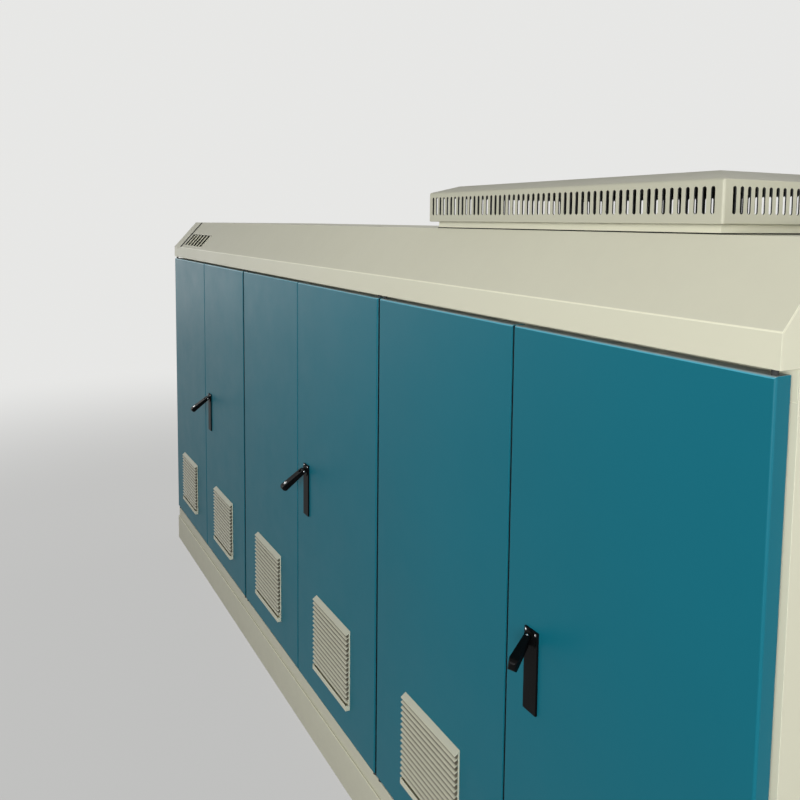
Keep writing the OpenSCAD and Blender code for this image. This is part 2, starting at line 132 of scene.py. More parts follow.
class BodySettings(bpy.types.PropertyGroup):
    """Folds and fixings of the sheet-metal body"""
    fold_radius: length(
        "Fold radius", "Outer radius of the body's folded edges", 0.0016, 0.0005, 0.006)
    rim_radius: length("Rim radius", "Rounding of cut sheet edges", 0.0005, 0.0002, 0.001)
    screw_radius: length(
        "Screw radius", "Radius of the back panels' screw heads", 0.0062, 0.003, 0.012)
    screw_pitch: length(
        "Screw pitch", "Rough distance between screws on the back panels", 0.29, 0.1, 0.6)
    cap_fold_radius: length(
        "Cap fold radius", "Outer radius of the vent cap's folds", 0.0085, 0.001, 0.012)
    cap_corner_radius: length(
        "Cap corner radius", "Outer radius of the vent cap's upright corners",
        0.0034, 0.0025, 0.012)
    cap_sheet: length("Cap sheet", "Thickness of the vent cap's sheet", 0.002, 0.0005, 0.005)
    slat_rim: length("Slat rim", "Rounding of the louvre slats' edges", 0.0004, 0.0001, 0.0008)
    cheek: length("Cheek", "Thickness of the louvres' cheeks", 0.0016, 0.0005, 0.003)
    band_low: length(
        "Lower band", "Height of the plain band below the slats", 0.014, 0.002, 0.03)
    band_top: length(
        "Upper band", "Height of the plain band above the slats", 0.0105, 0.002, 0.03)
    hood_slope: angle(
        "Hood slope", "Angle of the hood's slope above the floor", math.atan2(100, 90), 0.3, 1.4)
    hood_louvre_depth: length(
        "Hood louvre depth", "Depth of the frame of the louvre in the slope", 0.014, 0.005, 0.03)
    hood_blades: IntProperty(
        name="Hood blades", description="Number of blades in that louvre", default=6, min=1, max=12)
    hood_blade_tip: angle(
        "Blade tip", "Angle of those blades to the slope", math.radians(28), 0.1, 1.2)
    hood_lip: length(
        "Blade lip", "Height of the hemmed lips on those blades", 0.0034, 0.001, 0.01)
    bead: length(
        "Sealing bead", "Thickness of the dark bead round the curb's foot", 0.0018, 0.0005, 0.004)


class DoorSettings(bpy.types.PropertyGroup):
    """Folds and seals of the doors"""
    fold_radius: length(
        "Fold radius", "Outer radius of the doors' folded edges", 0.004, 0.0005, 0.006)
    seal_width: length(
        "Seal width", "Width of the rubber seals behind the doors", 0.012, 0.004, 0.02)
    seal_height: length(
        "Seal height", "How far the seals stand off the frame", 0.004, 0.001, 0.005)
    trim: length(
        "Edge trim", "Thickness of the rubber trims on the doors' facing edges",
        0.001, 0.0003, 0.002)


class HandleSettings(bpy.types.PropertyGroup):
    """Shape of the lifting handles"""
    plate_edge: length(
        "Plate edge", "Rounding of the handle plates' edges", 0.0006, 0.0002, 0.002)
    lever_edge: length("Lever edge", "Rounding of the levers' edges", 0.0016, 0.0005, 0.004)
    end_edge: length(
        "Lever end edge", "Rounding of the edges round a lever's end", 0.0038, 0.0005, 0.006)
    end_from: length(
        "Lever end", "Distance from the pivot at which a lever's end begins", 0.05, 0.02, 0.07)
    screw_radius: length(
        "Screw radius", "Radius of the screw heads on the plates", 0.0022, 0.001, 0.004)
    barrel_radius: length(
        "Lock barrel radius", "Radius of the lock barrel in a lever's end", 0.0045, 0.002, 0.007)
    barrel_place: length(
        "Lock barrel place", "Distance of the lock barrel from the lever's pivot",
        0.054, 0.02, 0.07)
    half_width: length(
        "Half width", "Distance of the pin's ends from the lever's middle", 0.01, 0.004, 0.015)
    half_thickness: length(
        "Half thickness", "Distance of the lever's outer face from its pivot's middle",
        0.005, 0.002, 0.008)
    taper: angle(
        "Taper", "Angle at which the lever's outer face leaves its back",
        math.radians(4.581), 0.0, 0.3)


class StageSettings(bpy.types.PropertyGroup):
    """Camera and studio"""
    camera_place: FloatVectorProperty(
        name="Camera place", description="Where the camera stands", subtype="TRANSLATION", size=3,
        default=(1.9774, DOOR_FACE - 0.7519, 1.36))
    heading: angle(
        "Heading", "Camera's turn from looking along the depth", math.radians(61.894))
    pitch: angle("Pitch", "Camera's tilt above the horizon", math.radians(-5.099))
    roll: angle("Roll", "Camera's turn about its own view", math.radians(0.557))
    lens: number(
        "Lens", "Focal length in millimetres for a 36 mm wide sensor", 36.256, 10.0, 120.0,
        "CAMERA")
    shift: number(
        "Vertical shift", "Lens shift as a share of the frame's side", -0.1335, -0.3, 0.3)
    backdrop: number(
        "Backdrop level", "Brightness of the far floor and the backdrop", 0.8, 0.0, 1.0)
    floor_level: number(
        "Floor level", "Paleness of the floor round the cabinet", 0.16, 0.0, 1.0)
    floor_lift: number(
        "Floor lift", "Share of the backdrop's own brightness in the near floor", 0.62, 0.0, 1.0)
    fade_start: length(
        "Fade start", "Distance at which the floor begins to fade into the backdrop",
        2.2, 0.5, 10.0)
    fade_end: length(
        "Fade end", "Distance at which the floor has become the backdrop", 5.5, 1.0, 20.0)
    sky: number("Sky", "Strength of the even light from all round", 0.22, 0.0, 2.0)
    ceiling: watts("Ceiling lamp", "Power of the broad lamp above and behind the cabinet", 30.0)
    right_window: watts(
        "Right window", "Power of the window-like lamp in front, at the right", 57.0)
    left_window: watts(
        "Left window", "Power of the window-like lamp in front, at the left", 36.0)
    back_window: watts("Back window", "Power of the window-like lamp behind the cabinet", 90.0)
    end_lamp: watts("End lamp", "Power of the low lamp that faces the row's right end", 24.0)


SETTINGS = {
    "cabinet_finish": FinishSettings,
    "cabinet_body": BodySettings,
    "cabinet_doors": DoorSettings,
    "cabinet_handles": HandleSettings,
    "cabinet_stage": StageSettings,
}


def settings(name):
    return getattr(bpy.context.scene, "cabinet_" + name)


# Node helpers: a value is a socket, which is linked, or a plain number or colour, which is set

def feed(tree, value, socket):
    if isinstance(value, bpy.types.NodeSocket):
        tree.links.new(value, socket)
    else:
        socket.default_value = value


def set_inputs(tree, node, **values):
    """Feeds a node's inputs by name, with spaces as underscores."""
    for key, value in values.items():
        feed(tree, value, node.inputs[key.replace("_", " ")])
    return node


def add_node(tree, kind, **values):
    """Adds a node; values are its properties, or its inputs as in set_inputs."""
    node = tree.nodes.new(kind)
    for key in [key for key in values if hasattr(node, key)]:
        setattr(node, key, values.pop(key))
    return set_inputs(tree, node, **values)


def calc(tree, operation, *terms, use_clamp=False):
    """The result of a maths node."""
    node = add_node(tree, "ShaderNodeMath", operation=operation, use_clamp=use_clamp)
    for term, socket in zip(terms, node.inputs):
        feed(tree, term, socket)
    return node.outputs[0]


def noise(tree, place, scale, detail, roughness):
    node = add_node(
        tree, "ShaderNodeTexNoise", Vector=place, Scale=scale, Detail=detail, Roughness=roughness)
    return node.outputs["Fac"]


def ramp(tree, value, start, end, first=0.0, last=1.0, kind="LINEAR"):
    """Goes from first to last while a value goes from start to end."""
    node = add_node(
        tree, "ShaderNodeMapRange", interpolation_type=kind, Value=value, From_Min=start,
        From_Max=end, To_Min=first, To_Max=last)
    return node.outputs[0]


def blend(tree, share, first, second):
    """A colour that goes from the first to the second as the share grows."""
    node = add_node(tree, "ShaderNodeMix", data_type="RGBA", Factor=share)
    feed(tree, first, node.inputs[6])
    feed(tree, second, node.inputs[7])
    return node.outputs[2]


def own_place(tree):
    """A point's place in the object's own space."""
    return tree.nodes.new("ShaderNodeTexCoord").outputs["Object"]


def along_axis(tree, vector, axis):
    return add_node(tree, "ShaderNodeSeparateXYZ", Vector=vector).outputs[axis]


def bump(tree, height, strength, distance):
    node = add_node(tree, "ShaderNodeBump", Height=height, Strength=strength, Distance=distance)
    return node.outputs["Normal"]


def use_group(tree, group, **values):
    """Places a node group and returns what it puts out."""
    return add_node(tree, "ShaderNodeGroup", node_tree=GROUPS[group], **values).outputs


def new_material(name):
    material = bpy.data.materials.new(name)
    material.use_nodes = True
    tree = material.node_tree
    tree.nodes.clear()
    output = tree.nodes.new("ShaderNodeOutputMaterial")
    shader = tree.nodes.new("ShaderNodeBsdfPrincipled")
    tree.links.new(shader.outputs["BSDF"], output.inputs["Surface"])
    return material, tree, shader


def new_group(name, inputs, outputs):
    """A shader node group, what it is given and its output node; each input has a default."""
    tree = bpy.data.node_groups.new(name, "ShaderNodeTree")
    for label, kind, default in inputs:
        socket = tree.interface.new_socket(name=label, in_out="INPUT", socket_type=kind)
        socket.default_value = default
    for label, kind in outputs:
        tree.interface.new_socket(name=label, in_out="OUTPUT", socket_type=kind)
    return tree, tree.nodes.new("NodeGroupInput").outputs, tree.nodes.new("NodeGroupOutput")


FLOAT, COLOR, VECTOR = "NodeSocketFloat", "NodeSocketColor", "NodeSocketVector"
GREY = (0.5, 0.5, 0.5, 1)


def powder_coat_group():
    """Fine orange peel, a slow bow of the sheet and faint clouds in tone and gloss."""
    tree, given, made = new_group(
        "Powder Coat",
        [("Color", COLOR, GREY), ("Clouds", FLOAT, 0.06), ("Roughness", FLOAT, 0.4),
         ("Peel", FLOAT, 0.2), ("Waviness", FLOAT, 0.3)],
        [("Color", COLOR), ("Roughness", FLOAT), ("Height", FLOAT)])
    gloss_range, bow_height = 0.14, 14.0
    place = own_place(tree)

    clouds = noise(tree, place, scale=2.3, detail=4.0, roughness=0.55)
    darkest = calc(tree, "MULTIPLY_ADD", given["Clouds"], -0.5, 1.0)
    tone = calc(tree, "MULTIPLY_ADD", clouds, given["Clouds"], darkest)
    toned = add_node(
        tree, "ShaderNodeVectorMath", operation="SCALE", Vector=given["Color"], Scale=tone)

    fine = noise(tree, place, scale=11.0, detail=6.0, roughness=0.6)
    glossiest = calc(tree, "SUBTRACT", given["Roughness"], gloss_range / 2)
    roughness = calc(tree, "MULTIPLY_ADD", fine, gloss_range, glossiest)

    peel = noise(tree, place, scale=420.0, detail=2.0, roughness=0.5)
    ripple = calc(tree, "MULTIPLY", peel, given["Peel"])
    bow = noise(tree, place, scale=3.4, detail=1.0, roughness=0.4)
    slow = calc(tree, "MULTIPLY", bow, given["Waviness"])
    height = calc(tree, "MULTIPLY_ADD", slow, bow_height, ripple)

    set_inputs(tree, made, Color=toned.outputs[0], Roughness=roughness, Height=height)
    return tree


def settled_dust_group():
    """Dust on what faces up and on what lies low, broken up by noise."""
    tree, given, made = new_group(
        "Settled Dust",
        [("Color", COLOR, GREY), ("Dust", COLOR, (0.42, 0.40, 0.35, 1)), ("Amount", FLOAT, 0.3),
         ("Low", FLOAT, 0.12)],
        [("Color", COLOR), ("Mask", FLOAT)])
    place = own_place(tree)
    normal = tree.nodes.new("ShaderNodeNewGeometry").outputs["Normal"]
    upward = ramp(tree, along_axis(tree, normal, "Z"), 0.5, 1.0)
    low = ramp(tree, along_axis(tree, place, "Z"), 0.0, given["Low"], 1.0, 0.0)
    either = calc(tree, "MAXIMUM", upward, low)
    specks = noise(tree, place, scale=26.0, detail=8.0, roughness=0.7)
    mask = calc(tree, "MULTIPLY", calc(tree, "MULTIPLY", either, specks), given["Amount"])
    set_inputs(tree, made, Color=blend(tree, mask, given["Color"], given["Dust"]), Mask=mask)
    return tree


def fine_scratch_group():
    """Short, faint scratches and specks for cast and plated metal."""
    tree, given, made = new_group(
        "Fine Scratches",
        [("Scale", FLOAT, 60.0), ("Stretch", VECTOR, (1.0, 1.0, 12.0)), ("Amount", FLOAT, 0.5)],
        [("Mask", FLOAT), ("Height", FLOAT)])
    long = add_node(tree, "ShaderNodeVectorMath", operation="DIVIDE", Vector=own_place(tree))
    feed(tree, given["Stretch"], long.inputs[1])
    lines = noise(tree, long.outputs[0], scale=given["Scale"], detail=5.0, roughness=0.65)
    mask = calc(tree, "MULTIPLY", ramp(tree, lines, 0.52, 0.72), given["Amount"])
    set_inputs(tree, made, Mask=mask, Height=lines)
    return tree


# Filled by make_materials: the node groups, and the finishes that the pieces name
GROUPS = {}
MATERIALS = {}


def paint(name, tone, roughness, clouds, dust, dust_low, sheen):
    """Powder-coated sheet steel; sheen sets how strongly it mirrors when seen straight on."""
    finish = settings("finish")
    dust_dulls = 0.3
    material, tree, shader = new_material(name)
    coated = use_group(
        tree, "coat", Color=(*tone, 1), Clouds=clouds, Roughness=roughness, Peel=finish.peel,
        Waviness=finish.waviness)
    dusty = use_group(tree, "dust", Color=coated["Color"], Amount=dust, Low=dust_low)
    dulled = calc(tree, "MULTIPLY_ADD", dusty["Mask"], dust_dulls, coated["Roughness"])
    set_inputs(
        tree, shader, Base_Color=dusty["Color"], Roughness=dulled, Specular_IOR_Level=sheen,
        Normal=bump(tree, coated["Height"], strength=0.35, distance=0.0002))
    return material


def metal(name, tone, metallic, roughness, stretch, scratch, sheen=0.5):
    """Cast, plated or polished metal, or a dull coat, with fine scratches."""
    scratch_dulls, scratch_lifts, bare_metal = 0.2, 1.5, 0.04
    material, tree, shader = new_material(name)
    wear_and_highlight = use_group(tree, "scratch", Stretch=stretch, Amount=scratch)
    scratched = [min(1.0, c * scratch_lifts + bare_metal) for c in tone]
    dulled = calc(tree, "MULTIPLY_ADD", wear_and_highlight["Mask"], scratch_dulls, roughness)
    set_inputs(
        tree, shader, Base_Color=blend(tree, wear_and_highlight["Mask"], (*tone, 1), (*scratched, 1)),
        Roughness=dulled, Metallic=metallic, Specular_IOR_Level=sheen,
        Normal=bump(tree, wear_and_highlight["Height"], strength=0.12, distance=0.0003))
    return material


def slat_paint(name, finish):
    """The louvres' cream paint, darkened with painted shade where the slats meet the door."""
    unshaded_from, shaded_from = 0.0092, 0.0058
    least, patchy = 0.62, 0.5
    material = MATERIALS["cream_paint"].copy()
    material.name = name
    tree = material.node_tree
    shader = next(n for n in tree.nodes if n.type == "BSDF_PRINCIPLED")
    unshaded_color = shader.inputs["Base Color"].links[0].from_socket
    place = own_place(tree)
    # Painted shade: darker the deeper a point lies behind the slats' front edges, in uneven patches
    deep = ramp(
        tree, along_axis(tree, place, "Y"), DOOR_FACE - unshaded_from, DOOR_FACE - shaded_from,
        kind="SMOOTHSTEP")
    patches = noise(tree, place, scale=70.0, detail=5.0, roughness=0.6)
    uneven = calc(tree, "MULTIPLY_ADD", patches, patchy, least)
    share = calc(tree, "MULTIPLY", deep, uneven, use_clamp=True)
    set_inputs(tree, shader, Base_Color=blend(tree, share, unshaded_color, (*finish.slat_shade, 1)))
    return material


def make_materials():
    finish = settings("finish")
    # Painted highlights: brighter copies of the cream and teal coats for folds and rims that look
    # up or to the left
    teal_lift, highlight_add = 1.9, 0.04
    highlit_cream = [min(1.0, c * finish.highlight_lift) for c in finish.cream]
    highlit_teal = [c * teal_lift * finish.highlight_lift + highlight_add for c in finish.teal]
    shaded_cream = [c * finish.cap_shade for c in finish.cream]
    GROUPS["coat"] = powder_coat_group()
    GROUPS["dust"] = settled_dust_group()
    GROUPS["scratch"] = fine_scratch_group()
    MATERIALS["cream_paint"] = paint(
        "cream powder coat", finish.cream,
        roughness=0.46, clouds=0.07, dust=0.42, dust_low=0.2, sheen=0.4)
    # The doors' heavy dust on what faces up is partly real dust and partly a painted reflection of
    # the cream rail above their tops
    MATERIALS["teal_paint"] = paint(
        "teal powder coat", finish.teal,
        roughness=0.42, clouds=0.14, dust=1.3, dust_low=0.001, sheen=0.16)
    MATERIALS["cream_edge"] = paint(
        "cream coat on folds", highlit_cream,
        roughness=0.36, clouds=0.04, dust=0.1, dust_low=0.05, sheen=0.5)
    MATERIALS["teal_edge"] = paint(
        "teal coat on folds", highlit_teal,
        roughness=0.3, clouds=0.08, dust=1.6, dust_low=0.001, sheen=0.5)
    # The vent cap's coat is a darker copy of the cream: painted shade
    MATERIALS["shaded_cap_paint"] = paint(
        "cream coat of the vent cap", shaded_cream,
        roughness=0.5, clouds=0.07, dust=0.42, dust_low=0.2, sheen=0.3)
    MATERIALS["dark_primer_and_shade"] = metal(
        "dark primer", finish.primer_and_shade,
        metallic=0.0, roughness=0.7, stretch=(1, 1, 1), scratch=0.2, sheen=0.2)
    MATERIALS["slat_paint"] = slat_paint("louvre powder coat", finish)
    MATERIALS["zinc_plate"] = metal(
        "zinc plated steel", finish.zinc,
        metallic=0.85, roughness=0.38, stretch=(1, 1, 3), scratch=0.6)
    MATERIALS["black_handle"] = metal(
        "black handle coat", finish.black,
        metallic=0.0, roughness=0.34, stretch=(1, 1, 6), scratch=0.06, sheen=0.045)
    MATERIALS["lock_chrome"] = metal(
        "lock chrome", finish.chrome,
        metallic=1.0, roughness=0.2, stretch=(4, 1, 1), scratch=0.5)
    MATERIALS["seal_rubber"] = metal(
        "seal rubber", finish.rubber,
        metallic=0.0, roughness=0.7, stretch=(1, 1, 1), scratch=0.1, sheen=0.03)


# Mesh helpers

def drop_inner_faces(bm):
    """Removes the faces in which two touching solids of one node meet."""
    met = {}
    for face in bm.faces:
        corners = frozenset(tuple(round(c, 6) for c in v.co) for v in face.verts)
        met.setdefault(corners, []).append(face)
    inner = [face for faces in met.values() if len(faces) > 1 for face in faces]
    if inner:
        bmesh.ops.delete(bm, geom=inner, context="FACES")


def clean_copy(node):
    """A CAD node's mesh as a bmesh with its flat faces joined."""
    bm = bmesh.new()
    bm.from_mesh(frame["nodes"][node].data)
    drop_inner_faces(bm)
    bmesh.ops.remove_doubles(bm, verts=bm.verts, dist=MERGE)
    bmesh.ops.dissolve_limit(
        bm, angle_limit=FLAT, verts=bm.verts, edges=bm.edges, use_dissolve_boundaries=False)
    return bm


def sharp_edges(bm, test=None):
    """The edges at which two faces meet sharply, or those of them that pass a test."""
    sharp = [e for e in bm.edges if len(e.link_faces) == 2 and e.calc_face_angle(0.0) > CREASE]
    return [e for e in sharp if test(e)] if test else sharp


def front_fold(node, shortest, above=-math.inf):
    """A test that finds the long folds on a node's front face, above a height."""
    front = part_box(node)[0].y

    def is_fold(edge):
        return edge.calc_length() > shortest and all(
            abs(v.co.y - front) < NEAR and v.co.z > above for v in edge.verts)

    return is_fold


def round_edges(bm, edges, radius, steps):
    """Rounds edges and returns the faces that this makes."""
    if not edges:
        return []
    return bmesh.ops.bevel(
        bm, geom=edges, offset=radius, offset_type="OFFSET", segments=steps, profile=0.5,
        affect="EDGES", clamp_overlap=True, loop_slide=True)["faces"]


def held_within(point, low, high):
    return Vector([min(max(c, a), b) for c, a, b in zip(point, low, high)])


def keep_within(bm, node):
    """Pulls back the odd corner that rounding pushed out of the node's own box."""
    low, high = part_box(node)
    for v in bm.verts:
        v.co = held_within(v.co, low, high)


def paint_highlight(bm, faces):
    """Marks the faces that look up or to the left for the painted highlight, a brighter coat."""
    slant = 0.2
    bm.normal_update()
    for face in faces:
        if face.is_valid and (face.normal.z > slant or face.normal.x < -slant):
            face.material_index = 1


def shade(piece):
    """Smooth shading in which flat faces stay flat and sharp edges stay sharp."""
    piece.data.shade_smooth()
    piece.data.set_sharp_from_angle(angle=SMOOTH)
    weighted = piece.modifiers.new("Flat faces", "WEIGHTED_NORMAL")
    weighted.keep_sharp = True
    weighted.weight = 80


def new_object(name, data):
    """An object that is linked to the scene."""
    made = bpy.data.objects.new(name, data)
    bpy.context.scene.collection.objects.link(made)
    return made


def finish_mesh(bm, name, *finishes):
    """Turns a bmesh into a shaded object with its finishes."""
    mesh = bpy.data.meshes.new(name)
    bm.to_mesh(mesh)
    bm.free()
    for finish in finishes:
        mesh.materials.append(MATERIALS[finish])
    piece = new_object(name, mesh)
    shade(piece)
    return piece


def settle(piece, body, slot, *nodes):
    """Hands a finished piece to its body and hides the CAD nodes that it stands for; the finish it
    is given is not used.
    """
    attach(piece, body)
    if nodes:
        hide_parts(*nodes)
    return piece


def folded(node, body, slot, rim_radius, is_fold=None, fold_radius=0.0, wear_and_highlight=None):
    """A CAD node's sheet metal with softened rims, and rounded folds where is_fold finds them.

    Where wear_and_highlight names a finish, the folds and rims that look up or to the left carry it
    as a painted highlight.
    """
    bm = clean_copy(node)
    rounds = [(None, rim_radius, RIM_STEPS)]
    if is_fold:
        rounds.insert(0, (is_fold, fold_radius, FOLD_STEPS))
    for test, radius, steps in rounds:
        made = round_edges(bm, sharp_edges(bm, test), radius, steps)
        if wear_and_highlight:
            paint_highlight(bm, made)
    keep_within(bm, node)
    finishes = (slot, wear_and_highlight) if wear_and_highlight else (slot,)
    return settle(finish_mesh(bm, node + "_sheet", *finishes), body, slot, node)


def add_skin(bm, rings, loop=False):
    """Adds a skin over rings of points, closed in a loop or with a face at each end."""
    rings = [[bm.verts.new(point) for point in ring] for ring in rings]
    for first, second in zip(rings, rings[1:] + (rings[:1] if loop else [])):
        for k in range(len(first)):
            bm.faces.new((first[k - 1], first[k], second[k], second[k - 1]))
    if not loop:
        bm.faces.new(rings[-1])
        bm.faces.new(list(reversed(rings[0])))


def add_bead(bm, corners, up, profile):
    """Adds a bead that runs round a rectangle, mitred at its four corners.

    The profile's points are (away from the rectangle's middle, along up).
    """
    middle = sum(corners, Vector()) / len(corners)
    rings = []
    for corner in corners:
        aside = [math.copysign(1.0, c) if abs(c) > NEAR else 0.0 for c in corner - middle]
        rings.append([corner + Vector(aside) * across + up * rise for across, rise in profile])
    add_skin(bm, rings, loop=True)


def add_turned(bm, at, radius, outline, count=24):
    """Adds a turned form round a matrix's Z axis; the outline is (share of radius, height)."""
    turns = [2 * math.pi * k / count for k in range(count)]
    add_skin(bm, [[
        at @ Vector((radius * share * math.cos(turn), radius * share * math.sin(turn), height))
        for turn in turns] for share, height in outline])


def add_block(bm, corner, first, second, third):
    """Adds a block with one corner and the three edges that leave it."""
    foot = [corner, corner + first, corner + first + second, corner + second]
    add_skin(bm, [foot, [point + third for point in foot]])


def outward_faces(bm):
    bmesh.ops.recalc_face_normals(bm, faces=bm.faces)


def around(x0, x1, y0, y1):
    """A rectangle's corners in order."""
    return (x0, y0), (x1, y0), (x1, y1), (x0, y1)


def bulb(width, height, count=7):
    """A seal's profile: flat behind and round in front."""
    turns = [math.pi * k / count for k in range(count + 1)]
    return [(width / 2 * math.cos(turn), height * math.sin(turn)) for turn in turns]


def evenly(start, stop, pitch):
    """Places from start to stop at the even distance nearest to the pitch."""
    count = max(1, round((stop - start) / pitch))
    return [start + (stop - start) * k / count for k in range(count + 1)]


def facing(place, outward):
    """A matrix at a place whose Z axis points outward."""
    turn = Vector(outward).to_track_quat("Z", "Y").to_matrix().to_4x4()
    return Matrix.Translation(place) @ turn


def carve(piece, cutter):
    """Cuts one object's mesh out of another's and removes the cutter."""
    piece.modifiers.clear()
    cut = piece.modifiers.new("Cut", "BOOLEAN")
    cut.object = cutter
    cut.solver = "EXACT"
    bpy.context.view_layer.update()
    whole = piece.evaluated_get(bpy.context.evaluated_depsgraph_get())
    made = bpy.data.meshes.new_from_object(whole)
    piece.modifiers.clear()
    piece.data = made
    shade(piece)
    bpy.data.objects.remove(cutter)


# Operators: one for each piece or group of like pieces

class CABINET_OT_body(bpy.types.Operator):
    """Dress the plinth, walls, back, posts, rails and roof, and the seals behind the doors"""
    bl_idname = "cabinet.body"
    bl_label = "Body"

    sheets = (
        "plinth_back", "plinth_left", "plinth_right", "left_side", "right_side", "bay_posts_1",
        "bay_posts_2", "sill_rail", "head_rail", "roof_panel")
    # Back panels' screws: distance from the panel's edge, depth, room and (share, height) outline
    screw_inset = 0.014
    screw_sink = 0.0018
    hole_clear = 0.0004
    screw_head = ((0.6, -0.0018), (1, -0.0004), (0.94, -0.0002), (0.42, -0.0002), (0.36, -0.0012))
    seal_inset = 0.008

    def execute(self, context):
        body = settings("body")
        top_fold = front_fold("plinth_front", LONG_FOLD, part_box("plinth_front")[1].z - NEAR)
        folded("plinth_front", "cabinet", "cream_paint", body.rim_radius, top_fold,
               body.fold_radius, wear_and_highlight="cream_edge")
        for node in self.sheets:
            folded(node, "cabinet", "cream_paint", body.rim_radius, wear_and_highlight="cream_edge")
        for bay in BAYS:
            self.back_panel(f"back_panel_{bay}", body)
        self.seals(settings("doors"))
        return {"FINISHED"}

    def back_panel(self, node, body):
        """A back panel with countersunk screws round its edge."""
        low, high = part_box(node)
        radius, inset = body.screw_radius, self.screw_inset
        xs = evenly(low.x + inset, high.x - inset, body.screw_pitch)
        zs = evenly(low.z + inset, high.z - inset, body.screw_pitch)
        places = [(x, z) for x in xs for z in (zs[0], zs[-1])]
        places += [(x, z) for z in zs[1:-1] for x in (xs[0], xs[-1])]
        wide = 1 + self.hole_clear / radius
        hole = ((0.62, -self.screw_sink), (wide, -0.0002), (wide, 0.001))
        holes, heads = bmesh.new(), bmesh.new()
        for x, z in places:
            at = facing(Vector((x, high.y, z)), (0, 1, 0))
            add_turned(holes, at, radius, hole)
            add_turned(heads, at, radius, self.screw_head)
        panel = folded(node, "cabinet", "cream_paint", body.rim_radius)
        carve(panel, finish_mesh(holes, "holes", "zinc_plate"))
        settle(finish_mesh(heads, node + "_screws", "zinc_plate"), "cabinet", "zinc_plate")

    def seals(self, doors):
        """Rubber seals on the frame behind each pair of doors."""
        bm = bmesh.new()
        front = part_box("bay_posts_1")[0].y
        inset = doors.seal_width / 2 + self.seal_inset
        for bay in BAYS:
            low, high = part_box(f"door_{2 * bay - 1}")[0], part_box(f"door_{2 * bay}")[1]
            loop = around(low.x + inset, high.x - inset, low.z + inset, high.z - inset)
            add_bead(
                bm, [Vector((x, front, z)) for x, z in loop], Vector((0, -1, 0)),
                bulb(doors.seal_width, doors.seal_height))
        settle(finish_mesh(bm, "door_seals", "seal_rubber"), "cabinet", "cream_paint")


class CABINET_OT_hood(bpy.types.Operator):
    """Dress the hood, its end strip, the rubber strip on their joint and the hood's louvre"""
    bl_idname = "cabinet.hood"
    bl_label = "Hood"

    # The band's folds are longer than this and lie more than this above its foot
    fold_length = 0.5
    foot_height = 0.01
    # The louvre is darkened with painted shade from this deep below the slope, on faces whose
    # cosine to its normal is less
    dark_from, dark_facing = 0.0008, 0.3
    lip_thickness = 0.0015
    # The joint's strip ends this far from the slope's edges; its section is (across, inward)
    strip_inset = 0.002
    strip_section = ((-0.006, 0.0001), (-0.0054, -0.0005), (0.0124, -0.0005), (0.013, 0.0001))

    def execute(self, context):
        body = settings("body")
        band_fold = front_fold(
            "hood_front", self.fold_length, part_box("hood_front")[0].z + self.foot_height)
        folded("hood_front", "cabinet", "cream_paint", body.rim_radius, band_fold,
               body.fold_radius, wear_and_highlight="cream_edge")
        folded("hood_end_strip", "cabinet", "cream_paint", body.rim_radius)
        lean = body.hood_slope
        up = Vector((0, math.cos(lean), math.sin(lean)))
        out = Vector((0, -math.sin(lean), math.cos(lean)))
        self.louvre(body, out)
        self.joint_strip(up, out)
        self.blade_lips(body, up, out)
        return {"FINISHED"}

    def louvre(self, body, out):
        """The louvre in the slope, with the dark coat painted as shade on the walls and edges below
        the slope.
        """
        piece = folded("hood_louvre", "cabinet", "cream_paint", body.rim_radius)
        face = max(v.co.dot(out) for v in piece.data.vertices)
        piece.data.materials.append(MATERIALS["dark_primer_and_shade"])
        for polygon in piece.data.polygons:
            deep = polygon.center.dot(out) < face - self.dark_from
            if deep and polygon.normal.dot(out) < self.dark_facing:
                polygon.material_index = 1

    def blade_lips(self, body, up, out):
        """A hemmed lip on the right edge of each blade of the louvre in the slope, in the coat of
        painted highlight.
        """
        low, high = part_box("hood_louvre")
        depth, skin, lip = body.hood_louvre_depth, body.cap_sheet, body.hood_lip
        start = low + Vector((0, 0, depth * up.y))
        height = (high.y - low.y - depth * up.z) / up.y
        pitch = (high.x - low.x - 2 * skin) / body.hood_blades
        thick = self.lip_thickness
        bm = bmesh.new()
        for k in range(body.hood_blades):
            edge = skin + k * pitch + (depth - skin) / math.tan(body.hood_blade_tip)
            corner = start + Vector((edge - thick, 0, 0)) + up * skin - out * (skin + lip)
            add_block(bm, corner, Vector((thick, 0, 0)), up * (height - 2 * skin), out * lip)
        outward_faces(bm)
        settle(finish_mesh(bm, "hood_louvre_lips", "cream_edge"), "cabinet", "cream_paint")

    def joint_strip(self, up, out):
        """A rubber strip that covers the joint between the slope and its end strip."""
        places = [v.co for v in frame["nodes"]["hood_end_strip"].data.vertices]
        right = max(c.x for c in places)
        face = max(c.dot(out) for c in places)
        edge = [c for c in places if c.x > right - NEAR and c.dot(out) > face - NEAR]
        foot, top = min(edge, key=up.dot), max(edge, key=up.dot)
        bm = bmesh.new()
        add_skin(bm, [
            [at + Vector((across, 0, 0)) - out * deep for across, deep in self.strip_section]
            for at in (foot + up * self.strip_inset, top - up * self.strip_inset)])
        outward_faces(bm)
        settle(finish_mesh(bm, "joint_seal", "seal_rubber"), "cabinet", "cream_paint")


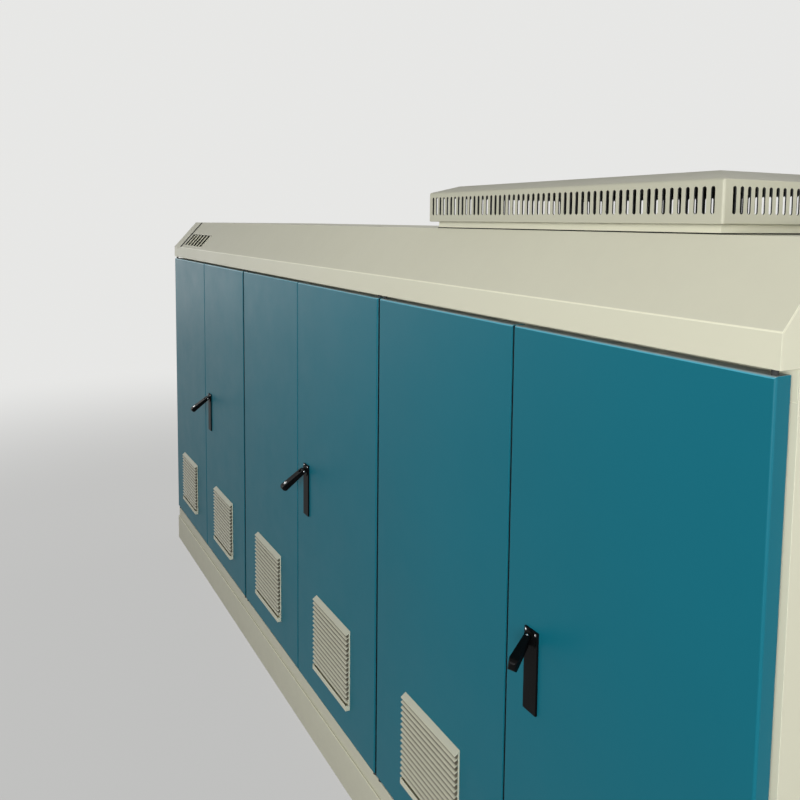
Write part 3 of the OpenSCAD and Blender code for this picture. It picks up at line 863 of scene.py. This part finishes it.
class CABINET_OT_vent_cap(bpy.types.Operator):
    """Dress the slotted vent cap, its curb and the bead round the curb's foot"""
    bl_idname = "cabinet.vent_cap"
    bl_label = "Vent cap"

    # The cap's folds are longer than the slots' edges and lie this far above the cap's foot
    fold_length = 0.03
    fold_height = 0.052
    slack = 1e-4
    # The cap's box, taken in at its sides and top, is its inside. A face keeps the paint when its
    # cosine to the way out of that box is at least the last number; the rest get painted shade.
    sides_in, top_in, outward = 0.012, 0.02, 0.4
    # The bead's section as shares of its size, and its reach under the curb
    bead_section = ((1, 0.0), (0.8, 0.5), (0.4, 0.9))
    bead_under = -0.0005

    def execute(self, context):
        body = settings("body")
        low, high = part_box("vent_cap")
        bm = clean_copy("vent_cap")
        for inset in (0.0, body.cap_sheet):
            for upright, radius in ((False, body.cap_fold_radius), (True, body.cap_corner_radius)):
                folds = sharp_edges(bm, lambda e: self.is_fold(e, low, high, inset, upright))
                round_edges(bm, folds, radius - inset, CAP_STEPS)
        round_edges(bm, sharp_edges(bm), body.rim_radius, RIM_STEPS)
        keep_within(bm, "vent_cap")
        self.shade_inside(bm, low, high)
        shell = finish_mesh(bm, "vent_cap_sheet", "shaded_cap_paint", "dark_primer_and_shade")
        settle(shell, "cabinet", "cream_paint", "vent_cap")
        folded("cap_curb", "cabinet", "cream_paint", body.rim_radius)
        self.curb_bead(body.bead)
        return {"FINISHED"}

    def is_fold(self, edge, low, high, inset, upright):
        """Whether an edge is one of the folds of the cap's skin that lies this far in."""
        def at_side(co, axis):
            depth = min(abs(co[axis] - low[axis]), abs(co[axis] - high[axis]))
            return abs(depth - inset) < self.slack

        if edge.calc_length() < self.fold_length:
            return False
        ends = [v.co for v in edge.verts]
        if all(at_side(co, 0) and at_side(co, 1) for co in ends):
            return upright
        return not upright and all(
            co.z > low.z + self.fold_height
            and (at_side(co, 0) or at_side(co, 1) or co.z > high.z - inset - self.slack)
            for co in ends)

    def shade_inside(self, bm, low, high):
        """Paints shade: gives the dark coat to all that doesn't face out of the cap."""
        bm.normal_update()
        sides = self.sides_in
        inner_low = low + Vector((sides, sides, sides))
        inner_high = high - Vector((sides, sides, self.top_in))
        for face in bm.faces:
            middle = face.calc_center_median()
            away = (middle - held_within(middle, inner_low, inner_high)).normalized()
            if face.normal.dot(away) < self.outward:
                face.material_index = 1

    def curb_bead(self, size):
        """A dark sealing bead where the curb stands on the roof."""
        low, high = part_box("cap_curb")
        under = self.bead_under
        section = [(size * across, size * rise) for across, rise in self.bead_section]
        loop = around(low.x, high.x, low.y, high.y)
        bm = bmesh.new()
        add_bead(
            bm, [Vector((x, y, low.z)) for x, y in loop], Vector((0, 0, 1)),
            [(under, 0.0), *section, (under, size * 1.1)])
        settle(finish_mesh(bm, "curb_bead", "seal_rubber"), "cabinet", "cream_paint")


class CABINET_OT_doors(bpy.types.Operator):
    """Dress the six doors, with rubber trims that also paint shade on the edges that face another
    door
    """
    bl_idname = "cabinet.doors"
    bl_label = "Doors"

    # A trim's section as (share of its thickness, depth behind the door's face)
    trim_section = (
        (0, 0.0022), (0.8, 0.0026), (1, 0.0036), (1, 0.018), (0.8, 0.0198), (0, 0.0205))
    trim_inset = 0.0015

    def execute(self, context):
        doors, rim = settings("doors"), settings("body").rim_radius
        for k in LEAVES:
            node = f"door_{k}"
            folded(node, f"leaf_{k}", "teal_paint", rim, front_fold(node, LONG_FOLD),
                   doors.fold_radius, wear_and_highlight="teal_edge")
            self.edge_trims(k, doors.trim)
        return {"FINISHED"}

    def edge_trims(self, k, thickness):
        """Rubber trims on the upright returns that face another door; they also paint the shade in
        the seams and on the folds there.
        """
        low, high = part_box(f"door_{k}")
        sides = []
        if k > LEAVES[0]:
            sides.append((low.x, -thickness))
        if k < LEAVES[-1]:
            sides.append((high.x, thickness))
        bm = bmesh.new()
        for x, thick in sides:
            add_skin(bm, [
                [(x + thick * share, low.y + deep, z) for share, deep in self.trim_section]
                for z in (low.z + self.trim_inset, high.z - self.trim_inset)])
        outward_faces(bm)
        settle(finish_mesh(bm, f"door_trim_{k}", "seal_rubber"), f"leaf_{k}", "teal_paint")


class CABINET_OT_door_louvres(bpy.types.Operator):
    """Dress the louvres on the doors"""
    bl_idname = "cabinet.door_louvres"
    bl_label = "Door louvres"

    def execute(self, context):
        body = settings("body")
        for k in LEAVES:
            node = f"door_louvre_{k}"
            piece = folded(node, f"leaf_{k}", "cream_paint", body.slat_rim)
            self.mark_slats(piece.data, node, body)
        return {"FINISHED"}

    def mark_slats(self, mesh, node, body):
        """Gives the slats, but not the cheeks and bands, the finish with painted shade in it."""
        low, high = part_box(node)
        mesh.materials.append(MATERIALS["slat_paint"])
        for face in mesh.polygons:
            inside = low.x + body.cheek < face.center.x < high.x - body.cheek
            if inside and low.z + body.band_low < face.center.z < high.z - body.band_top:
                face.material_index = 1


class CABINET_OT_handles(bpy.types.Operator):
    """Dress the handle plates, hubs and levers, with their screws and lock barrels"""
    bl_idname = "cabinet.handles"
    bl_label = "Handles"

    # Turned outlines as (share of the radius, height), and how many sides the lock has
    screw_head = ((1, -0.0002), (1, 0.0003), (0.85, 0.0006), (0.4, 0.0008), (0.36, 0.0003))
    lock_ring = ((1, -0.001), (1, 0.0003), (0.93, 0.0006), (0.72, 0.0006), (0.66, 0.0002))
    lock_core = ((0.6, 0.0001), (0.6, 0.0005), (0.5, 0.0006))
    lock_sides = 32
    # The key slot's width and length as shares of the barrel's radius, its depth and its middle
    key_width, key_length = 0.16, 0.8
    key_depth, key_height = 0.001, 0.0007
    # The plate's screws are this many times their radius from its edges
    screw_inset = 1.9

    def execute(self, context):
        handles = settings("handles")
        for k in BAYS:
            leaf, hub = f"leaf_{2 * k}", f"hub_{k}"
            folded(f"handle_plate_{k}", leaf, "black_handle", handles.plate_edge)
            folded(f"handle_hub_{k}", hub, "black_handle", handles.plate_edge)
            pivot, pin, along, outward = self.lever_frame(k)

            def near_end(edge, pivot=pivot):
                return all((v.co - pivot).length > handles.end_from for v in edge.verts)

            folded(f"handle_lever_{k}", f"lever_{k}", "black_handle", handles.lever_edge,
                   near_end, handles.end_edge)
            low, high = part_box(f"handle_plate_{k}")
            inset = self.screw_inset * handles.screw_radius
            self.screws(f"plate_screws_{k}", leaf, [
                (Vector((x, low.y, high.z - inset)), (0, -1, 0))
                for x in (low.x + inset, high.x - inset)])
            self.screws(f"pin_heads_{k}", hub, [
                (pivot + pin * side * handles.half_width, pin * side) for side in (-1, 1)])
            self.lock(k, handles, pivot, pin, along, outward)
        return {"FINISHED"}

    def lever_frame(self, k):
        """A lever's pivot, its pin's direction, the way it points and the way its face looks."""
        lift = JOINTS[f"handle_{k}_lift"]
        pivot, pin = Vector(lift["pos_m"]), Vector(lift["axis"])
        turned = Matrix.Rotation(math.radians(-lift["range_deg"][0]), 3, pin)
        return pivot, pin, turned @ Vector((-pin.z, 0, pin.x)), turned @ Vector((0, -1, 0))

    def screws(self, name, body, places):
        """Screw heads, each at its place and looking its own way."""
        radius = settings("handles").screw_radius
        bm = bmesh.new()
        for place, outward in places:
            add_turned(bm, facing(place, outward), radius, self.screw_head)
        settle(finish_mesh(bm, name, "lock_chrome"), body, "black_handle")

    def lock(self, k, handles, pivot, pin, along, outward):
        """A lock barrel with a key slot in the lever's outer face, near its end."""
        radius = handles.barrel_radius
        tip = Matrix.Rotation(handles.taper, 3, pin)
        along, outward = tip @ along, tip @ outward
        place = pivot + along * handles.barrel_place + outward * handles.half_thickness
        at = facing(place, outward)
        ring, core, slot = bmesh.new(), bmesh.new(), bmesh.new()
        add_turned(ring, at, radius, self.lock_ring, self.lock_sides)
        add_turned(core, at, radius, self.lock_core, self.lock_sides)
        made = bmesh.ops.create_cube(slot, size=1.0)["verts"]
        size = (radius * self.key_width, radius * self.key_length, self.key_depth)
        bmesh.ops.scale(slot, vec=size, verts=made)
        middle = at @ Matrix.Translation((0, 0, self.key_height))
        bmesh.ops.transform(slot, matrix=middle, verts=made)
        settle(finish_mesh(ring, f"lock_ring_{k}", "lock_chrome"), f"lever_{k}", "black_handle")
        barrel = finish_mesh(core, f"lock_core_{k}", "lock_chrome")
        carve(barrel, finish_mesh(slot, "key_slot", "lock_chrome"))
        settle(barrel, f"lever_{k}", "black_handle")


class CABINET_OT_inside(bpy.types.Operator):
    """Give the floor, the mounting plates and the hinge pins their finish"""
    bl_idname = "cabinet.inside"
    bl_label = "Inside"

    finishes = {
        "floor_panel": "zinc_plate",
        **{f"mounting_plate_{bay}": "zinc_plate" for bay in BAYS},
        "hinge_pins": "dark_primer_and_shade",
    }

    def execute(self, context):
        for node, finish in self.finishes.items():
            slots = frame["nodes"][node].data.materials
            slots.clear()
            slots.append(MATERIALS[finish])
        return {"FINISHED"}


def pale(level):
    """A faintly warm grey."""
    return (level, level, level * 0.985, 1)


class CABINET_OT_stage(bpy.types.Operator):
    """Set up the floor, lights, world and camera"""
    bl_idname = "cabinet.stage"
    bl_label = "Stage"

    floor_reach = 30.0
    # Lamps: name, place, what it faces, width, height, and its beam's angle in degrees
    lamps = (
        ("ceiling", (0.2, 2.2, 4.2), (0.1, 0.2, 1.0), 4.5, 3.0, 180),
        ("right_window", (4.0, -3.6, 1.75), (0.9, 0.0, 1.75), 2.4, 2.0, 85),
        ("left_window", (-6.0, -2.4, 1.6), (-0.4, -0.4, 0.9), 4.0, 2.4, 180),
        ("end_lamp", (4.6, 0.4, 0.7), (1.4, 0.0, 0.8), 2.0, 1.4, 180),
        ("back_window", (-1.0, 5.0, 1.2), (0.0, 0.3, 0.8), 4.0, 2.0, 180),
    )

    def execute(self, context):
        stage = settings("stage")
        context.scene.view_settings.view_transform = "Standard"
        self.floor(stage)
        self.world(stage)
        self.lights(stage)
        self.camera(stage)
        return {"FINISHED"}

    def floor(self, stage):
        """A pale floor that keeps the shadow near the cabinet and fades into the backdrop."""
        reach = self.floor_reach
        mesh = bpy.data.meshes.new("floor")
        mesh.from_pydata(
            [(x, y, 0) for x, y in around(-reach, reach, -reach, reach)], [], [(0, 1, 2, 3)])
        floor = new_object("floor", mesh)
        material, tree, shader = new_material("studio floor")
        set_inputs(tree, shader, Base_Color=pale(stage.floor_level), Roughness=0.7)
        seen = add_node(tree, "ShaderNodeEmission", Color=pale(stage.backdrop), Strength=1.0)
        place = tree.nodes.new("ShaderNodeNewGeometry").outputs["Position"]
        far = add_node(tree, "ShaderNodeVectorMath", operation="LENGTH", Vector=place)
        fade = ramp(
            tree, far.outputs["Value"], stage.fade_start, stage.fade_end, stage.floor_lift,
            kind="SMOOTHSTEP")
        share = calc(tree, "MULTIPLY", fade, self.seen_directly(tree))
        output = next(n for n in tree.nodes if n.type == "OUTPUT_MATERIAL")
        self.mix(tree, share, shader, seen, output)
        mesh.materials.append(material)

    def seen_directly(self, tree):
        """1 for rays that the eye, a mirror or glass sends, and 0 for light on the object."""
        rays = tree.nodes.new("ShaderNodeLightPath").outputs
        plain = calc(tree, "MAXIMUM", rays["Is Camera Ray"], rays["Is Glossy Ray"])
        return calc(tree, "MAXIMUM", plain, rays["Is Transmission Ray"])

    def mix(self, tree, share, first, second, output):
        """Puts out a mix of two shader nodes."""
        mixed = tree.nodes.new("ShaderNodeMixShader")
        for value, socket in zip((share, first.outputs[0], second.outputs[0]), mixed.inputs):
            feed(tree, value, socket)
        tree.links.new(mixed.outputs[0], output.inputs["Surface"])

    def world(self, stage):
        """Even light from all round, with a brighter backdrop that doesn't light the object."""
        world = bpy.data.worlds.new("studio")
        bpy.context.scene.world = world
        world.use_nodes = True
        tree = world.node_tree
        tree.nodes.clear()
        output = tree.nodes.new("ShaderNodeOutputWorld")
        soft = add_node(
            tree, "ShaderNodeBackground", Color=(1.0, 1.0, 1.0, 1), Strength=stage.sky)
        seen = add_node(tree, "ShaderNodeBackground", Color=pale(stage.backdrop), Strength=1.0)
        self.mix(tree, self.seen_directly(tree), soft, seen, output)

    def lights(self, stage):
        """The lamps; each one's power is the setting of its name."""
        for name, place, target, width, height, beam in self.lamps:
            light = bpy.data.lights.new(name, "AREA")
            light.shape = "RECTANGLE"
            light.size = width
            light.size_y = height
            light.energy = getattr(stage, name)
            light.spread = math.radians(beam)
            lamp = new_object(name, light)
            lamp.location = place
            lamp.rotation_mode = "QUATERNION"
            lamp.rotation_quaternion = (Vector(target) - Vector(place)).to_track_quat("-Z", "Y")

    def camera(self, stage):
        """The camera, turned by its heading, pitch and roll."""
        data = bpy.data.cameras.new("camera")
        data.sensor_width = 36.0
        data.lens = stage.lens
        data.shift_y = stage.shift
        data.clip_start = 0.05
        data.clip_end = 60.0
        camera = new_object("camera", data)
        flat = math.cos(stage.pitch)
        ahead = Vector((
            -math.sin(stage.heading) * flat, math.cos(stage.heading) * flat,
            math.sin(stage.pitch)))
        right = ahead.cross(Vector((0, 0, 1))).normalized()
        up = right.cross(ahead)
        rolled_right = right * math.cos(stage.roll) + up * math.sin(stage.roll)
        rolled_up = up * math.cos(stage.roll) - right * math.sin(stage.roll)
        camera.matrix_world = Matrix.Translation(stage.camera_place) @ Matrix(
            (rolled_right, rolled_up, -ahead)).transposed().to_4x4()
        bpy.context.scene.camera = camera


STEPS = (
    CABINET_OT_body, CABINET_OT_hood, CABINET_OT_vent_cap, CABINET_OT_doors,
    CABINET_OT_door_louvres, CABINET_OT_handles, CABINET_OT_inside, CABINET_OT_stage)


class CABINET_PT_pieces(bpy.types.Panel):
    """Lists the steps that dress the cabinet"""
    bl_idname = "CABINET_PT_pieces"
    bl_label = "Control Cabinet"
    bl_space_type = "VIEW_3D"
    bl_region_type = "UI"
    bl_category = "Cabinet"

    def draw(self, context):
        for step in STEPS:
            self.layout.operator(step.bl_idname)


CLASSES = (*SETTINGS.values(), *STEPS, CABINET_PT_pieces)


def register():
    for cls in CLASSES:
        bpy.utils.register_class(cls)
    for name, group in SETTINGS.items():
        setattr(bpy.types.Scene, name, PointerProperty(type=group))


def unregister():
    for name in SETTINGS:
        delattr(bpy.types.Scene, name)
    for cls in reversed(CLASSES):
        bpy.utils.unregister_class(cls)


def main():
    register()
    make_materials()
    for step in STEPS:
        area, name = step.bl_idname.split(".")
        getattr(getattr(bpy.ops, area), name)()


if __name__ == "__main__":
    main()
